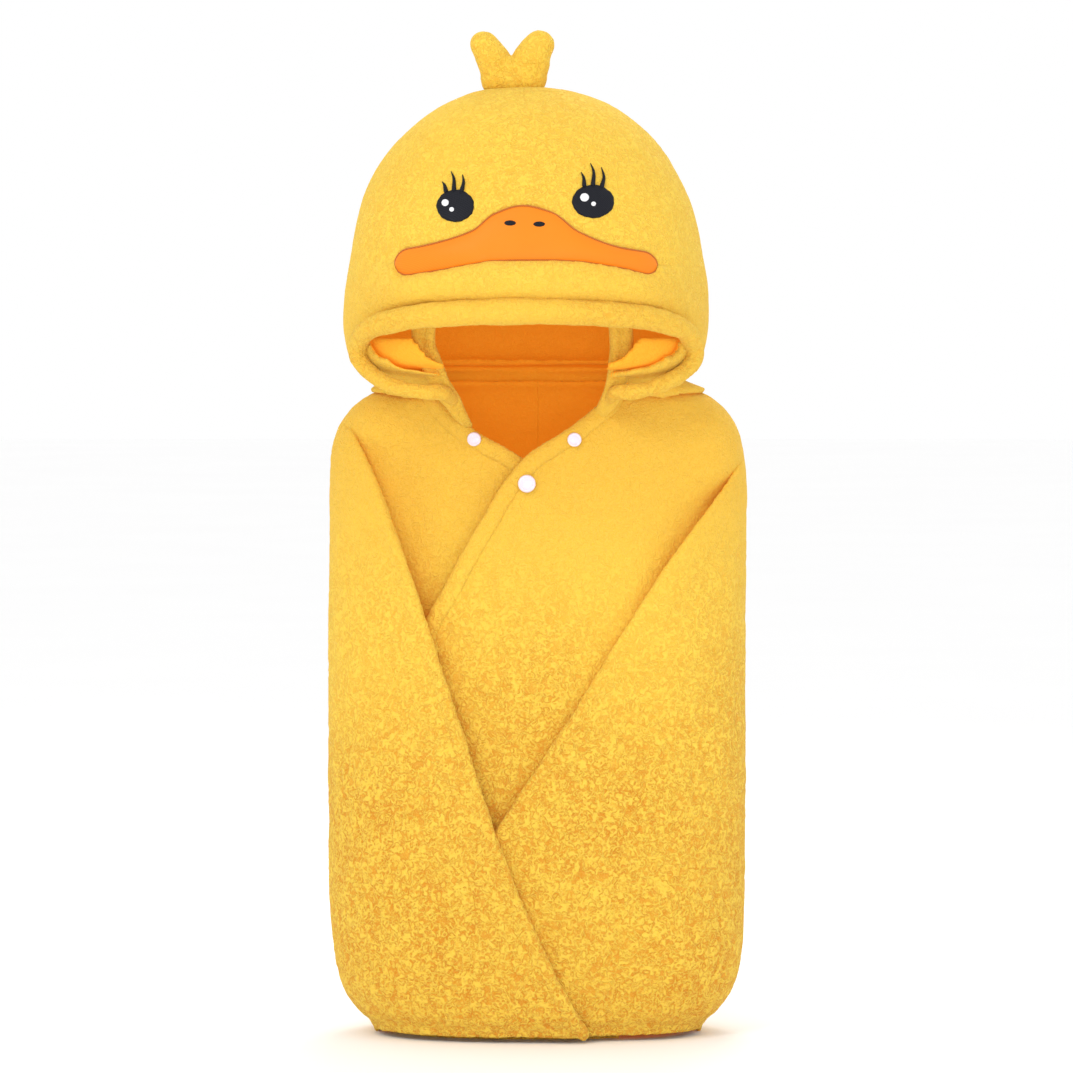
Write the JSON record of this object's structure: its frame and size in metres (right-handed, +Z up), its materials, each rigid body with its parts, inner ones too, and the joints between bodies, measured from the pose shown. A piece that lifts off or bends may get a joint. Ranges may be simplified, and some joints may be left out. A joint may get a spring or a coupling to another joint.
{
  "type": "hooded baby towel",
  "caption": "Hooded baby towel in plush fleece with a duck face hood, wrap-over front, snap neck and padded brim, standing as worn.",
  "frame": {"origin": "centre of the hem on the floor, at the bottom centre of the bounding box", "axes": "+Z up from the hem to the crest, -Y the front with the face and the wraps, +X to the right seen from the front"},
  "size_m": [0.2856, 0.2205, 0.6866],
  "materials": {
    "fleece": "plush coral fleece, short soft pile",
    "lining": "soft fleece, seen from its inner side",
    "bill": "smooth orange applique cloth with a stitched edge",
    "embroidery": "dark satin-stitch embroidery",
    "white_thread": "white satin-stitch embroidery",
    "snap_plastic": "glossy pale pink-white resin"
  },
  "bodies": {
    "root": {"back_panel": "fleece", "left_front_panel": "fleece", "left_front_band": "fleece", "snap_stud_centre": "snap_plastic", "snap_stud_cap_centre": "snap_plastic", "snap_cap_left": "snap_plastic", "snap_back_left": "snap_plastic"},
    "hood": {"hood_shell": "fleece", "hood_lining": "lining", "brim_band": "fleece", "face_edge_band": "lining", "bill_patch": "bill", "bill_edge_stitch": "bill", "eye_left": "embroidery", "eye_left_highlight_1": "white_thread", "eye_left_highlight_2": "white_thread", "lash_left_1": "embroidery", "lash_left_2": "embroidery", "lash_left_3": "embroidery", "nostril_left": "embroidery", "eye_right": "embroidery", "eye_right_highlight_1": "white_thread", "eye_right_highlight_2": "white_thread", "lash_right_1": "embroidery", "lash_right_2": "embroidery", "lash_right_3": "embroidery", "nostril_right": "embroidery"},
    "crest": {"crest_tuft": "fleece"},
    "right_front": {"right_front_panel": "fleece", "right_front_band": "fleece", "snap_cap_centre": "snap_plastic", "snap_socket_centre": "snap_plastic", "snap_cap_right": "snap_plastic", "snap_back_right": "snap_plastic"},
    "right_wrap": {"right_wrap": "fleece"},
    "left_wrap": {"left_wrap": "fleece"}
  },
  "joints": [
    {"name": "left_wrap_open", "type": "hinge", "parent": "root", "child": "left_wrap", "pos_m": [-0.143, 0.0242, 0.2], "axis": [0, 0, -1], "range_deg": [0, 130]},
    {"name": "right_wrap_open", "type": "hinge", "parent": "root", "child": "right_wrap", "pos_m": [0.143, 0.0242, 0.2], "axis": [0, 0, 1], "range_deg": [0, 105]},
    {"name": "right_front_open", "type": "hinge", "parent": "root", "child": "right_front", "pos_m": [0.143, 0.0242, 0.2], "axis": [0, 0, 1], "range_deg": [0, 60]},
    {"name": "hood_tip_back", "type": "hinge", "parent": "root", "child": "hood", "pos_m": [-0.008, 0.0722, 0.453], "axis": [-1, 0, 0], "range_deg": [0, 55]},
    {"name": "crest_flop", "type": "hinge", "parent": "hood", "child": "crest", "pos_m": [-0.015, 0.0122, 0.6592], "axis": [1, 0, 0], "range_deg": [-35, 35], "stiffness_Nm_per_rad": 0.01}
  ],
  "couplings": [
    {"joint": "right_wrap_open", "follows": "left_wrap_open", "ratio": 0.8},
    {"joint": "right_front_open", "follows": "left_wrap_open", "ratio": 0.45}
  ]
}
